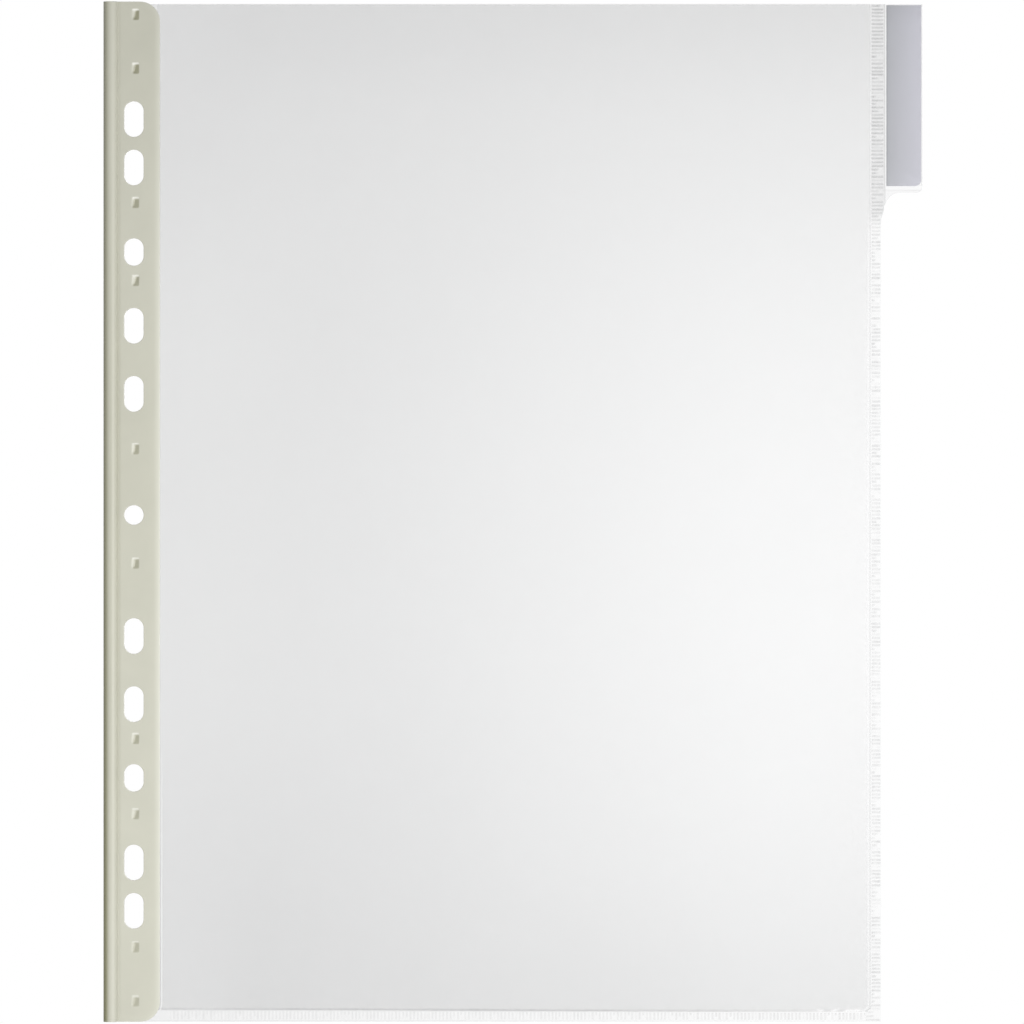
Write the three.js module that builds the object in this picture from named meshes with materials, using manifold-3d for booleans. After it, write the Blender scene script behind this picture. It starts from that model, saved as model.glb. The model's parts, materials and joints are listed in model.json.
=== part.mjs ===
// Clear display panel for one A4 sheet: a punched binding strip folded from one
// piece, two film leaves welded into a pocket that is open at the top, and an
// index tab that holds a label card.
// Millimetres. X runs to the right, Z up, and the front faces -Y. The origin is
// the centre of the round middle hole, half way through the panel's thickness.

import * as THREE from 'three';
import { mergeVertices } from 'three/addons/utils/BufferGeometryUtils.js';
import Module from 'manifold-3d';

const wasm = await Module();
wasm.setup();

// Binding strip: two leaves and the hollow bead that their fold makes. The middle
// hole lies a little below the middle of the strip.
const panelHeight = 310;
const middleHoleDrop = 1;
const leafReach = 7.9;
const leafWall = 0.45;
const leafCorner = 6;
const foldReach = 9.27;
const beadWidth = 4.4;
const beadThickness = 3.6;

// Punching: a round middle hole, and the same row of slots above and below it.
// A bridge is the solid strip before a slot, a straight is its length between
// its round ends. The slots' centres come to 36.8, 57.5, 79.9, 105.6 and 120.3.
const holeWidth = 5.9;
const longStraight = 4.9;
const shortStraight = 2.4;
const firstBridge = 28.45;
const secondBridge = 9.9;
const thirdBridge = 12.85;
const fourthBridge = 16.15;
const fifthBridge = 3.9;
const endLand = 3;
const slotRow = [
  { bridge: firstBridge, straight: longStraight },
  { bridge: secondBridge, straight: longStraight },
  { bridge: thirdBridge, straight: shortStraight },
  { bridge: fourthBridge, straight: longStraight },
  { bridge: fifthBridge, straight: longStraight },
];

// Spot welds, which hold leaves and films together, each dished by the welding tip
const weldWidth = 2.5;
const weldHeight = 3.7;
const weldShift = 0.45;
const weldLand = 0.5;
const weldRim = 0.1;
const frontDish = 0.35;
const rearDish = 0.15;
const dishFloor = 0.3;

// Where the welds lie: each on a stretch of solid strip, counted outwards from the
// middle hole, at a share of the way that the stretch leaves it. The last stretch
// runs from the row of slots to the strip's end.
const weldsAbove = [
  { stretch: 0, along: 0.624 },
  { stretch: 2, along: 0.74 },
  { stretch: 3, along: 0.749 },
  { stretch: -1, along: 0.302 },
  { stretch: -1, along: 0.94 },
];
const weldsBelow = [
  { stretch: 0, along: 0.393 },
  { stretch: 2, along: 0.324 },
  { stretch: 3, along: 0.381 },
  { stretch: -1, along: 0.134 },
  { stretch: -1, along: 0.83 },
];

// Film leaves, and the crease on which the pocket swings
const filmWall = 0.15;
const filmDrop = 0.75;
const creaseOffset = 1.2;
const creaseClearance = 0.2;
const filmStart = 0.1;
const creaseLand = 0.8;
const marginGrip = 12.8;

// Pocket for one sheet
const sheetWidth = 210;
const sheetPlay = 4.15;
const sideSeam = 3;
const bottomSeam = 3.6;
const seamSlope = 0.8;

// Index tab, folded from film of its own
const tabFilm = 0.15;
const tabReach = 12.55;
const tabHeight = 57.3;
const tabCorner = 1.6;
const tabFilletWidth = 5.3;
const tabFilletHeight = 8.2;
const tabFilletLean = 1;
const tabFilletSag = 0.8;
const tabSeamExtra = 0.95;
const tabStepHeight = 3.2;
const flangeInset = 0.55;
const flangeBelow = 1.5;
const flangeClearance = 0.3;
const slotFloorRim = 2;
const foldWall = 0.2;
const pouchEdge = 0.1;
const pouchSlope = 0.2;
const pouchRim = 0.6;

// Label card
const cardThickness = 0.25;
const cardPlay = 0.05;
const cardSidePlay = 0.1;
const cardSink = 0.3;
const cardCorner = 2;

// Facets on round ends and on the bead
const arcSteps = 5;
const beadSteps = 12;

// Worked out from the sizes above
const holeRadius = holeWidth / 2;
const stripTop = panelHeight / 2 + middleHoleDrop;
const stripBottom = stripTop - panelHeight;
const slotPlaces = placeSlots(Math.min(stripTop, -stripBottom) - endLand);
const rowEnd = slotPlaces.at(-1).end;
const filmTop = stripTop - filmDrop;
const filmBottom = stripBottom;
const leafOuter = filmWall + leafWall;
const creaseX = leafReach + creaseOffset;
const pocketHalf = tabFilm;
const pocketEdge = creaseLand + sheetWidth + sheetPlay + sideSeam;
const seamLine = pocketEdge - sideSeam;
const tabEdge = pocketEdge + tabReach;
const tabBottom = filmTop - tabHeight;
const filletBottom = tabBottom - tabFilletHeight;
const slotHalf = cardThickness / 2 + cardPlay;
const slotFloor = tabBottom + slotFloorRim;
const pouchLeft = pocketEdge + tabSeamExtra + pouchEdge;
const slotLeft = pouchLeft + pouchSlope + pouchRim / 2;
const slotRight = tabEdge - foldWall;
const overshoot = 5;

const stripPlastic = new THREE.MeshStandardMaterial({
  name: 'strip',
  color: 0xcac8b4,
  roughness: 0.5,
  metalness: 0,
});
const clearFilm = new THREE.MeshStandardMaterial({
  name: 'film',
  color: 0xececec,
  roughness: 0.35,
  metalness: 0,
  transparent: true,
  opacity: 0.5,
});
const tabClearFilm = new THREE.MeshStandardMaterial({
  name: 'tab_film',
  color: 0xf4f4f4,
  roughness: 0.15,
  metalness: 0,
  transparent: true,
  opacity: 0.35,
});
const labelPaper = new THREE.MeshStandardMaterial({
  name: 'label',
  color: 0xc6c4d0,
  roughness: 0.85,
  metalness: 0,
});

// A closed geometry as a solid that can be joined and cut
function solidOf(geometry) {
  geometry.deleteAttribute('normal');
  geometry.deleteAttribute('uv');
  const closed = mergeVertices(geometry);
  const vertProperties = new Float32Array(closed.attributes.position.array);
  const triVerts = new Uint32Array(closed.index.array);
  return new wasm.Manifold(new wasm.Mesh({ numProp: 3, vertProperties, triVerts }));
}

// A named mesh of a solid
function meshOf(name, solid, material) {
  const result = solid.getMesh();
  const geometry = new THREE.BufferGeometry();
  geometry.setAttribute('position', new THREE.BufferAttribute(result.vertProperties, 3));
  geometry.setIndex(new THREE.BufferAttribute(result.triVerts, 1));
  geometry.computeVertexNormals();
  const mesh = new THREE.Mesh(geometry, material);
  mesh.name = name;
  return mesh;
}

// A plate with an outline in X and Z, between two depths in Y that its vertices
// keep exactly
function plate(outline, nearY, farY) {
  const settings = { depth: 1, bevelEnabled: false, curveSegments: arcSteps };
  const geometry = new THREE.ExtrudeGeometry(outline, settings);
  geometry.rotateX(Math.PI / 2);
  const position = geometry.attributes.position;
  for (let i = 0; i < position.count; i++) {
    const isFar = position.getY(i) > -0.5;
    position.setY(i, isFar ? farY : nearY);
  }
  return solidOf(geometry);
}

// A box between two corners
function block(low, high) {
  const size = high.clone().sub(low);
  const geometry = new THREE.BoxGeometry(size.x, size.y, size.z);
  geometry.translate(low.x + size.x / 2, low.y + size.y / 2, low.z + size.z / 2);
  return solidOf(geometry);
}

// A block whose four sides lean in by slope on their way from baseY to topY
function taperedBlock(area, baseY, topY, slope) {
  const width = area.right - area.left;
  const height = area.top - area.bottom;
  const centreX = (area.left + area.right) / 2;
  const centreZ = (area.bottom + area.top) / 2;
  const geometry = new THREE.BoxGeometry(width, Math.abs(topY - baseY), height);
  geometry.translate(centreX, (baseY + topY) / 2, centreZ);
  const position = geometry.attributes.position;
  for (let i = 0; i < position.count; i++) {
    const atTop = Math.abs(position.getY(i) - topY) < Math.abs(position.getY(i) - baseY);
    if (atTop) {
      position.setX(i, position.getX(i) - slope * Math.sign(position.getX(i) - centreX));
      position.setZ(i, position.getZ(i) - slope * Math.sign(position.getZ(i) - centreZ));
    }
  }
  return solidOf(geometry);
}

// Where the slots of the row lie, outwards from the middle hole, as far as they fit
function placeSlots(limit) {
  const places = [];
  let end = holeRadius;
  for (const slot of slotRow) {
    const start = end + slot.bridge;
    const slotEnd = start + slot.straight + holeWidth;
    places.push({ bridgeStart: end, start, end: slotEnd, straight: slot.straight });
    end = slotEnd;
  }
  return places.filter((place) => place.end < limit);
}

// A slot with round ends, centred at a height
function slotOutline(height, straight) {
  const outline = new THREE.Shape();
  outline.absarc(0, height + straight / 2, holeRadius, 0, Math.PI);
  outline.absarc(0, height - straight / 2, holeRadius, Math.PI, 2 * Math.PI);
  return outline;
}

// The filing punch: everything that it takes out of strip and films
function punch() {
  const reach = leafOuter + overshoot;
  let tool = solidOf(new THREE.CylinderGeometry(holeRadius, holeRadius, 2 * reach, 4 * arcSteps));
  for (const place of slotPlaces) {
    const centre = (place.start + place.end) / 2;
    for (const side of [1, -1]) {
      tool = tool.add(plate(slotOutline(side * centre, place.straight), -reach, reach));
    }
  }
  return tool;
}

// The stretches of solid strip between the middle hole and one end of the strip
function solidStretches(stripEnd) {
  const bridges = slotPlaces.map((place) => ({ start: place.bridgeStart, end: place.start }));
  return [...bridges, { start: rowEnd, end: Math.abs(stripEnd) }];
}

// The heights of the spot welds between the middle hole and one end of the strip
function weldHeightsTo(stripEnd, welds) {
  const stretches = solidStretches(stripEnd);
  const land = weldHeight / 2 + weldLand;
  return welds.filter((weld) => weld.stretch < slotPlaces.length).map((weld) => {
    const { start, end } = stretches.at(weld.stretch);
    return Math.sign(stripEnd) * (start + land + (end - start - 2 * land) * weld.along);
  });
}

// The heights of all spot welds, from the top down
function weldHeights() {
  const heights = [...weldHeightsTo(stripTop, weldsAbove), ...weldHeightsTo(stripBottom, weldsBelow)];
  return heights.sort((one, other) => other - one);
}

// The windows that the spot welds fill
function weldWindows() {
  const reach = leafOuter + overshoot;
  const windows = weldHeights().map((height) => block(
    new THREE.Vector3(weldShift - weldWidth / 2, -reach, height - weldHeight / 2),
    new THREE.Vector3(weldShift + weldWidth / 2, reach, height + weldHeight / 2),
  ));
  return windows.reduce((all, next) => all.add(next));
}

// The folded strip's section: a hairpin whose bend is blown up into a bead
function stripSection() {
  const centre = beadWidth / 2 - foldReach;
  const outerWide = beadWidth / 2;
  const outerDeep = beadThickness / 2;
  const innerWide = outerWide - leafWall;
  const innerDeep = outerDeep - leafWall;
  const outerStart = Math.asin(leafOuter / outerDeep);
  const innerStart = Math.asin(filmWall / innerDeep);
  const section = new THREE.Shape();
  section.moveTo(leafReach, -filmWall);
  section.lineTo(leafReach, -leafOuter);
  section.absellipse(centre, 0, outerWide, outerDeep, -outerStart, outerStart, true);
  section.lineTo(leafReach, leafOuter);
  section.lineTo(leafReach, filmWall);
  section.absellipse(centre, 0, innerWide, innerDeep, innerStart, -innerStart, false);
  section.lineTo(leafReach, -filmWall);
  return section;
}

// The strip seen from the front, with its free corners rounded
function stripOutline() {
  const left = -foldReach - overshoot;
  const outline = new THREE.Shape();
  outline.moveTo(left, stripBottom);
  outline.lineTo(leafReach - leafCorner, stripBottom);
  outline.absarc(leafReach - leafCorner, stripBottom + leafCorner, leafCorner, -Math.PI / 2, 0);
  outline.lineTo(leafReach, stripTop - leafCorner);
  outline.absarc(leafReach - leafCorner, stripTop - leafCorner, leafCorner, 0, Math.PI / 2);
  outline.lineTo(left, stripTop);
  outline.lineTo(left, stripBottom);
  return outline;
}

function bindingStrip() {
  const settings = { depth: stripTop - stripBottom, bevelEnabled: false, curveSegments: beadSteps };
  const geometry = new THREE.ExtrudeGeometry(stripSection(), settings);
  geometry.translate(0, 0, stripBottom);
  const reach = beadThickness / 2 + overshoot;
  const solid = solidOf(geometry)
    .intersect(plate(stripOutline(), -reach, reach))
    .subtract(punch())
    .subtract(weldWindows());
  return meshOf('binding_strip', solid, stripPlastic);
}

// The part of a film leaf that the strip grips. Side is -1 in front, 1 behind.
function filmMargin(name, side) {
  const right = creaseX - filmWall - creaseClearance;
  const low = new THREE.Vector3(leafReach - marginGrip, Math.min(0, side * filmWall), filmBottom);
  const high = new THREE.Vector3(right, Math.max(0, side * filmWall), filmTop);
  const solid = block(low, high).subtract(punch()).subtract(weldWindows());
  return meshOf(name, solid, clearFilm);
}

// The fused spot, dished in front by the welding tip and faintly behind
function spotWeldSolid() {
  const half = new THREE.Vector3(weldWidth / 2, leafOuter, weldHeight / 2);
  const rim = {
    left: weldRim - half.x,
    right: half.x - weldRim,
    bottom: weldRim - half.z,
    top: half.z - weldRim,
  };
  const slope = half.x - weldRim - dishFloor / 2;
  return block(half.clone().negate(), half)
    .subtract(taperedBlock(rim, -leafOuter, frontDish - leafOuter, slope))
    .subtract(taperedBlock(rim, leafOuter, leafOuter - rearDish, slope));
}

function spotWeld(index, height) {
  const mesh = meshOf(`spot_weld_${String(index + 1).padStart(2, '0')}`, spotWeldSolid(), stripPlastic);
  mesh.position.set(weldShift, 0, height);
  return mesh;
}

// The pocket is drawn from its crease, so X is 0 there

// A film leaf seen from the front, a little wider beside the tab
function filmOutline() {
  const outline = new THREE.Shape();
  outline.moveTo(filmStart, filmBottom);
  outline.lineTo(pocketEdge, filmBottom);
  outline.lineTo(pocketEdge, filletBottom);
  outline.lineTo(pocketEdge + tabSeamExtra, filletBottom + tabStepHeight);
  outline.lineTo(pocketEdge + tabSeamExtra, filmTop);
  outline.lineTo(filmStart, filmTop);
  outline.lineTo(filmStart, filmBottom);
  return outline;
}

// Where a leaf stands off the middle plane: over the sheet, and over the flange
function raisedAreas() {
  const overSheet = {
    left: creaseLand,
    right: seamLine,
    bottom: filmBottom + bottomSeam,
    top: filmTop + overshoot,
  };
  const overFlange = {
    left: seamLine - overshoot,
    right: pocketEdge + tabSeamExtra + overshoot,
    bottom: filletBottom - flangeBelow - seamSlope - flangeClearance,
    top: filmTop + overshoot,
  };
  return [overSheet, overFlange];
}

// A block that lifts a film's face by the pocket's half gap over an area. It has
// the area's outline at the face, and reaches as far below it as above.
function liftBlock(area, faceY, side) {
  const base = {
    left: area.left - seamSlope,
    right: area.right + seamSlope,
    bottom: area.bottom - seamSlope,
    top: area.top + seamSlope,
  };
  return taperedBlock(base, faceY - side * pocketHalf, faceY + side * pocketHalf, 2 * seamSlope);
}

// One leaf of the pocket: welded flat at the crease and the seams, and set off by
// the pocket's half gap between them. Side is -1 in front, 1 behind.
function filmLeaf(name, side) {
  const outerY = side * filmWall;
  const reach = side * (pocketHalf + filmWall + overshoot);
  let solid = plate(filmOutline(), Math.min(-outerY, outerY), Math.max(-outerY, outerY));
  for (const area of raisedAreas()) {
    solid = solid.add(liftBlock(area, outerY, side));
  }
  for (const area of raisedAreas()) {
    solid = solid.subtract(liftBlock(area, 0, side));
  }
  solid = solid.intersect(plate(filmOutline(), Math.min(0, reach), Math.max(0, reach)));
  return meshOf(name, solid, clearFilm);
}

// The tab seen from the front, with the flange that the side seam holds
function tabOutline() {
  const flangeLeft = seamLine + flangeInset;
  const outline = new THREE.Shape();
  outline.moveTo(flangeLeft, filletBottom - flangeBelow);
  outline.lineTo(pocketEdge, filletBottom - flangeBelow);
  outline.lineTo(pocketEdge, filletBottom);
  outline.quadraticCurveTo(
    pocketEdge + tabFilletLean,
    tabBottom - tabFilletSag,
    pocketEdge + tabFilletWidth,
    tabBottom,
  );
  outline.lineTo(tabEdge - tabCorner, tabBottom);
  outline.absarc(tabEdge - tabCorner, tabBottom + tabCorner, tabCorner, -Math.PI / 2, 0);
  outline.lineTo(tabEdge, filmTop);
  outline.lineTo(flangeLeft, filmTop);
  outline.lineTo(flangeLeft, filletBottom - flangeBelow);
  return outline;
}

// The tab: film folded at its outer edge, fused round a slot that is open at the
// top and stands a little proud on both sides
function tabSleeve() {
  const reach = slotHalf + tabFilm + overshoot;
  const pouch = {
    left: pouchLeft,
    right: tabEdge,
    bottom: tabBottom + pouchRim,
    top: filmTop + overshoot,
  };
  const slotLow = new THREE.Vector3(slotLeft, -slotHalf, slotFloor);
  const slotHigh = new THREE.Vector3(slotRight, slotHalf, filmTop + overshoot);
  let solid = plate(tabOutline(), -tabFilm, tabFilm);
  for (const side of [-1, 1]) {
    solid = solid.add(taperedBlock(pouch, side * tabFilm, side * (slotHalf + tabFilm), pouchSlope));
  }
  solid = solid.subtract(block(slotLow, slotHigh));
  return meshOf('tab_sleeve', solid.intersect(plate(tabOutline(), -reach, reach)), tabClearFilm);
}

// The label card, drawn from its lower left corner, which stands on the slot's floor
function labelCard() {
  const width = slotRight - slotLeft - 2 * cardSidePlay;
  const height = filmTop - cardSink - slotFloor;
  const outline = new THREE.Shape();
  outline.moveTo(0, 0);
  outline.lineTo(width - cardCorner, 0);
  outline.absarc(width - cardCorner, cardCorner, cardCorner, -Math.PI / 2, 0);
  outline.lineTo(width, height);
  outline.lineTo(0, height);
  outline.lineTo(0, 0);
  const card = meshOf('label_card', plate(outline, -cardThickness / 2, cardThickness / 2), labelPaper);
  card.position.set(slotLeft + cardSidePlay, 0, slotFloor);
  return card;
}

const spine = new THREE.Group();
spine.add(bindingStrip());
spine.add(filmMargin('front_film_margin', -1));
spine.add(filmMargin('rear_film_margin', 1));
weldHeights().forEach((height, index) => spine.add(spotWeld(index, height)));

const pocket = new THREE.Group();
pocket.position.set(creaseX, 0, 0);
pocket.add(filmLeaf('front_film', -1));
pocket.add(filmLeaf('rear_film', 1));
pocket.add(tabSleeve());
pocket.add(labelCard());

const panel = new THREE.Group();
panel.add(spine);
panel.add(pocket);

export default panel;
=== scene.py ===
"""Clear display panel for one sheet, dressed for rendering.

A folded and punched binding strip grips two matt film leaves. The leaves are welded to
each other at the side and along the bottom, and an index tab holds a label card. Sizes
are in metres. X runs from the strip to the tab, Z up, and the front faces -Y.
"""

import json
import math
import random

import bmesh
import bpy
from bpy.props import (
    FloatProperty,
    FloatVectorProperty,
    IntProperty,
    PointerProperty,
)
from mathutils import Matrix, Vector, noise


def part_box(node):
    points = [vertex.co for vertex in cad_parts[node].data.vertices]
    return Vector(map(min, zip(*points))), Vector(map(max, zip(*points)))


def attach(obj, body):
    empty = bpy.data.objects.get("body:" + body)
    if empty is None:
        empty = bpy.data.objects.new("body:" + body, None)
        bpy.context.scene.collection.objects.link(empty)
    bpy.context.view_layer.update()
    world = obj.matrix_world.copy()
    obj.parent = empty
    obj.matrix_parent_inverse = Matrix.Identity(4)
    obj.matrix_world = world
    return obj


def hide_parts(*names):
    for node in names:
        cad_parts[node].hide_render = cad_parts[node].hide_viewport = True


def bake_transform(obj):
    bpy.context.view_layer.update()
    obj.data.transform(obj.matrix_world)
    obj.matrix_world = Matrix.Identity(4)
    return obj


bl_info = {
    "name": "Clear Display Panel",
    "version": (1, 0, 0),
    "blender": (4, 5, 0),
    "location": "3D View > Sidebar > Display Panel",
    "description": "Builds a clear display panel with a punched strip and an index tab",
    "category": "Add Mesh",
}

MM = 0.001

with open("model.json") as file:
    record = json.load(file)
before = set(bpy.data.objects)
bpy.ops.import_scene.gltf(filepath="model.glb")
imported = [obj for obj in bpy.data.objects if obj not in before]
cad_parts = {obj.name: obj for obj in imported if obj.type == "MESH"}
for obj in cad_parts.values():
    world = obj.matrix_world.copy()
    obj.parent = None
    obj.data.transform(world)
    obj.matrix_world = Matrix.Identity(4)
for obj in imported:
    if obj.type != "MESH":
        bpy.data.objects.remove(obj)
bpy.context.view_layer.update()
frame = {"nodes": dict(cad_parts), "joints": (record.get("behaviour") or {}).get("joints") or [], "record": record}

# Places that the frame gives
STRIP_LOW, STRIP_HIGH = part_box("binding_strip")
MARGIN_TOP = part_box("front_film_margin")[1].z
LEAF_LOW, LEAF_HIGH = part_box("front_film")
TAB_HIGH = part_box("tab_sleeve")[1]
CARD_LOW, CARD_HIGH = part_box("label_card")
WELD_NAMES = sorted(name for name in frame["nodes"] if name.startswith("spot_weld"))
CREASE_X = next(j for j in frame["joints"] if j["name"] == "pocket_swing")["pos_m"][0]

# An opening's box in the record is this much longer than its slot's straight
OPENING_ENDS = 3.2 * MM


# Settings


def length_prop(name, description, millimetres):
    return FloatProperty(
        name=name, description=description, default=millimetres * MM, unit="LENGTH"
    )


def color_prop(name, description, default):
    return FloatVectorProperty(
        name=name, description=description, subtype="COLOR", size=3, default=default
    )


def share_prop(name, description, default):
    return FloatProperty(
        name=name, description=description, default=default, min=0, max=1, subtype="FACTOR"
    )


def amount_prop(name, description, default):
    return FloatProperty(name=name, description=description, default=default, min=0)


class StripSettings(bpy.types.PropertyGroup):
    """Sizes and colours of the binding strip and its spot welds"""

    wall: length_prop("Wall", "Thickness of the strip's plastic", 0.45)
    leaf_face: length_prop(
        "Leaf face", "Distance of a leaf's outer face from the middle plane", 0.6
    )
    hole_width: length_prop("Hole width", "Width of the round hole and of the slots", 5.9)
    hole_lip: length_prop(
        "Hole lip", "Rounding that the punch leaves at the edge of a hole", 0.12
    )
    corner: length_prop("Corner", "Radius of the leaves' free corners", 6)
    bead_width: length_prop("Bead width", "Width of the bead that the fold makes", 4.4)
    bead_depth: length_prop("Bead depth", "Thickness of the bead that the fold makes", 3.59)
    trough: length_prop(
        "Trough", "Depth of the groove that the fold leaves beside the bead", 0.12
    )
    crown: length_prop("Crown", "How far a leaf falls off towards its free edge", 0.06)
    edge_fall: length_prop(
        "Edge fall", "How much thinner a leaf is pressed right at its free edge", 0.18
    )
    color: color_prop("Colour", "Colour of the strip's plastic", (0.467, 0.464, 0.391))
    # Painted light: the colour the strip is lifted towards where it is thin, as though light came through
    edge_glow_color: color_prop(
        "Edge colour",
        "Colour where the strip is thin and lets light through",
        (0.72, 0.72, 0.67),
    )
    # Painted shade: the colour that the fold, the bead's valley and crest and the weld dishes darken towards
    fold_shade_color: color_prop(
        "Fold colour",
        "Colour along the fold, where the plastic is seen edge on",
        (0.21, 0.205, 0.115),
    )


class FilmSettings(bpy.types.PropertyGroup):
    """Sizes and colours of the film leaves"""

    wall: length_prop("Film wall", "Thickness of the film", 0.15)
    stand_off: length_prop(
        "Stand-off", "Distance of a leaf from the middle plane over the sheet", 0.15
    )
    wave: length_prop("Wave", "Height of the soft waves in the hanging film", 0.10)
    mouth: length_prop("Mouth", "How far each leaf bulges out at the pocket's open top", 0.12)
    color: color_prop("Colour", "Colour of the haze in the film", (0.35, 0.352, 0.355))
    alpha: share_prop("Cover", "How much each surface of the film hides", 0.15)


class SeamSettings(bpy.types.PropertyGroup):
    """Sizes and colours of the ribbed weld seams"""

    rib_pitch: length_prop("Rib pitch", "Distance from one rib of the weld to the next", 1.105)
    rib_depth: length_prop(
        "Rib depth", "Depth of the grooves that the welding bar presses in", 0.09
    )
    side_width: length_prop("Side seam", "Width of the seam at the side", 3)
    bottom_width: length_prop("Bottom seam", "Width of the seam along the bottom", 3.6)
    corner: length_prop(
        "Inner corner", "Radius at which the two seams meet inside the pocket", 1.8
    )
    seed: IntProperty(
        name="Seed",
        description="Chooses which ribs came out faint or short",
        default=7,
    )


class TabSettings(bpy.types.PropertyGroup):
    """Sizes and colours of the index tab and its label card"""

    wall: length_prop("Tab film", "Thickness of the tab's film", 0.15)
    corner: length_prop("Tab corner", "Radius of the tab's lower corner", 1.6)
    color: color_prop("Tab colour", "Colour of the haze in the tab's film", (0.45, 0.45, 0.46))
    alpha: share_prop("Tab cover", "How much each surface of the tab's film hides", 0.09)
    card_corner: length_prop("Card corner", "Radius of the card's lower outer corner", 2)
    card_color: color_prop(
        "Card colour", "Colour of the plain label card", (0.498, 0.495, 0.553)
    )
    # Painted shade: the colour the card darkens towards beside the seam
    card_shade_color: color_prop(
        "Card's inner colour",
        "Colour of the card beside the seam, where less light reaches it",
        (0.342, 0.35, 0.375),
    )


class StageSettings(bpy.types.PropertyGroup):
    """Camera, lights and floor"""

    lens: FloatProperty(
        name="Lens",
        description="Focal length of the camera, in millimetres",
        default=200,
        min=20,
    )
    view_width: length_prop("View width", "Width of what the camera sees at the panel", 311.25)
    view_centre: FloatVectorProperty(
        name="View centre",
        description="Point of the panel at the middle of the picture",
        subtype="TRANSLATION",
        size=3,
        default=(0.1149, 0, 0.0009),
    )
    key_power: amount_prop(
        "Key power", "Power of the soft light in front of the panel, in watts", 2.3
    )
    fill_power: amount_prop(
        "Fill power", "Power of the soft light below the strip, in watts", 0.6
    )
    rear_power: amount_prop(
        "Rear power", "Power of the soft light behind the panel, in watts", 2.0
    )
    ambient: amount_prop("Ambient", "Brightness of the light that comes from all round", 0.25)
    floor_drop: length_prop(
        "Floor drop", "Distance from the panel's lower edge down to the floor", 450
    )


def settings(group):
    return getattr(bpy.context.scene, "display_" + group)


# Shared shaping helpers


# The rounding of every cut edge, and the turn that makes an edge a cut one
EDGE_ROUNDING = 0.03 * MM
CUT_ANGLE = math.radians(50)


def smooth_step(low, high, value):
    """0 before low, 1 after high, and a smooth rise between them"""
    share = min(1.0, max(0.0, (value - low) / (high - low)))
    return share * share * (3 - 2 * share)


def bell(value, centre, width):
    """1 at the centre, falling off to nearly nothing two widths away"""
    return math.exp(-(((value - centre) / width) ** 2))


def rough(x, y, z):
    """Soft noise between about -1 and 1"""
    return noise.noise(Vector((x, y, z)))


def arc(centre_x, centre_z, radius_x, radius_z, start, turn, steps):
    """Points along a quarter or other part of an ellipse, with its angles in degrees"""
    points = []
    for step in range(steps + 1):
        angle = math.radians(start + turn * step / steps)
        x = centre_x + radius_x * math.cos(angle)
        points.append((x, centre_z + radius_z * math.sin(angle)))
    return points


def chain(bm, points, closed=False):
    """Vertices at points, joined into a chain of edges"""
    verts = [bm.verts.new(point) for point in points]
    pairs = list(zip(verts, verts[1:]))
    if closed:
        pairs.append((verts[-1], verts[0]))
    edges = [bm.edges.new(pair) for pair in pairs]
    return verts, edges


def subdivided(points):
    """The same line of points, with its long stretches cut to at most STRETCH"""
    line = [Vector(points[0])]
    for start, end in zip(points, points[1:]):
        start, end = Vector(start), Vector(end)
        count = max(1, math.ceil((end - start).length / STRETCH))
        line += [start.lerp(end, step / count) for step in range(1, count + 1)]
    return line


def extrude_chain(bm, verts, edges, places):
    """Extrudes a chain of edges and puts its new vertices at places, in the same order"""
    made = bmesh.ops.extrude_edge_only(bm, edges=edges)["geom"]
    fresh = set(only_verts(made))
    ordered = []
    for vert in verts:
        others = (edge.other_vert(vert) for edge in vert.link_edges)
        ordered.append(next(other for other in others if other in fresh))
    for vert, place in zip(ordered, places):
        vert.co = place
    closed = len(edges) == len(verts)
    followers = ordered[1:] + ordered[:1] if closed else ordered[1:]
    fresh_edges = [bm.edges.get(pair) for pair in zip(ordered, followers)]
    return ordered, fresh_edges


def fill_flat(bm, edges, facing):
    """Fills the area inside the outer loop of edges, around the inner loops"""
    made = bmesh.ops.triangle_fill(
        bm, edges=edges, use_beauty=True, use_dissolve=False, normal=facing
    )
    return [item for item in made["geom"] if isinstance(item, bmesh.types.BMFace)]


def thicken(bm, thickness):
    """Gives an open sheet a wall on the side away from its normals"""
    bm.normal_update()
    bmesh.ops.solidify(bm, geom=list(bm.faces), thickness=thickness)


def grid(bm, columns, rows, place):
    """A grid of faces whose vertices lie at place(column, row), facing -Y"""
    across, up = len(columns) - 1, len(rows) - 1
    made = bmesh.ops.create_grid(bm, x_segments=across, y_segments=up, size=1)
    for vert in made["verts"]:
        column = columns[round((vert.co.x + 1) / 2 * across)]
        row = rows[round((vert.co.y + 1) / 2 * up)]
        vert.co = place(column, row)


def mark_sharp(bm, degrees):
    """Shades smooth, with a sharp edge wherever two faces turn by more than degrees"""
    limit = math.radians(degrees)
    for face in bm.faces:
        face.smooth = True
    for edge in bm.edges:
        edge.smooth = len(edge.link_faces) == 2 and edge.calc_face_angle() < limit


def round_edges(bm, edges, offset, segments):
    bmesh.ops.bevel(
        bm,
        geom=edges,
        offset=offset,
        offset_type="OFFSET",
        affect="EDGES",
        segments=segments,
        profile=0.5,
        material=-1,
        clamp_overlap=True,
    )


def only_verts(items):
    return [item for item in items if isinstance(item, bmesh.types.BMVert)]


def slab(bm, thickness):
    """Gives a flat sheet straight sides and a back"""
    made = bmesh.ops.extrude_face_region(bm, geom=list(bm.faces))["geom"]
    bmesh.ops.translate(bm, verts=only_verts(made), vec=(0, thickness, 0))


def add_object(name, data):
    thing = bpy.data.objects.new(name, data)
    bpy.context.scene.collection.objects.link(thing)
    return thing


def add_mesh(bm, name, material):
    """Makes an object of a finished bmesh"""
    mesh = bpy.data.meshes.new(name)
    bm.to_mesh(mesh)
    bm.free()
    mesh.materials.append(material)
    return add_object(name, mesh)


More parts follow.
